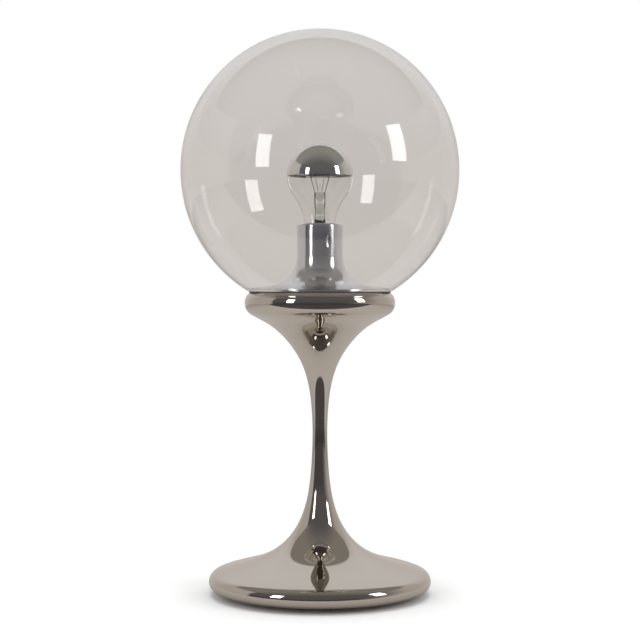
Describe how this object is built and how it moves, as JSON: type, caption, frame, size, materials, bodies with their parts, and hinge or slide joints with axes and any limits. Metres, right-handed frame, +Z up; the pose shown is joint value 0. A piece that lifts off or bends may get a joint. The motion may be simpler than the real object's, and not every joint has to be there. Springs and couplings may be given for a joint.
{
  "type": "glass globe table lamp",
  "caption": "Table lamp with a clear glass globe resting on a slender polished trumpet pedestal, over a crown-mirrored bulb in a flared metal cover.",
  "frame": {"origin": "middle of the felt's underside, where the lamp's axis meets the table", "axes": "+Z up along the lamp's axis; the front of the picture is -Y; the cord leaves the foot at the back along +Y"},
  "size_m": [0.25, 0.25, 0.507],
  "materials": {
    "plated_casting": "polished nickel-chrome plating",
    "cover_metal": "polished spun metal",
    "globe_glass": "clear blown glass with a light warm tint",
    "bulb_glass": "clear blown glass",
    "mount_glass": "clear pressed glass",
    "mirror_layer": "silvered inside",
    "cap_metal": "rolled sheet, slightly dull",
    "dark_glass": "black pressed glass",
    "solder": "dull solder",
    "wire": "drawn nickel wire",
    "tungsten": "dark coiled tungsten",
    "iron": "raw casting, painted grey",
    "plate_steel": "black painted sheet steel",
    "felt": "black felt",
    "soft_ring": "translucent grey soft ring",
    "bush_plastic": "black moulded bush",
    "steel": "zinc plated steel",
    "brass": "turned brass",
    "phenolic": "black phenolic moulding",
    "ceramic": "glazed ceramic"
  },
  "bodies": {
    "root": {"felt_pad": "felt", "base_plate": "plate_steel", "base_screws": "steel", "counterweight": "iron", "pedestal": "plated_casting", "cord_bush": "bush_plastic", "tie_tube": "steel", "lower_washer": "steel", "lower_nut": "steel", "upper_washer": "steel", "upper_nut": "brass", "seat_ring": "soft_ring", "socket_cover": "cover_metal", "entry_nipple": "brass", "locking_screw": "steel", "holder_cap": "phenolic", "holder_core": "ceramic", "terminal_screws": "brass", "centre_contact": "brass", "screw_shell": "brass", "holder_sleeve": "phenolic"},
    "globe": {"globe": "globe_glass"},
    "bulb": {"bulb_glass": "bulb_glass", "crown_mirror": "mirror_layer", "bulb_cap": "cap_metal", "bulb_insulator": "dark_glass", "bulb_tip": "solder", "glass_stem": "mount_glass", "lead_wires": "wire", "filament": "tungsten", "support_wires": "wire"}
  },
  "joints": [
    {"name": "globe_lift", "type": "slide", "parent": "root", "child": "globe", "axis": [0, 0, 1], "range_m": [0, 0.16]},
    {"name": "bulb_lift", "type": "slide", "parent": "root", "child": "bulb", "axis": [0, 0, 1], "range_m": [0, 0.035]}
  ]
}
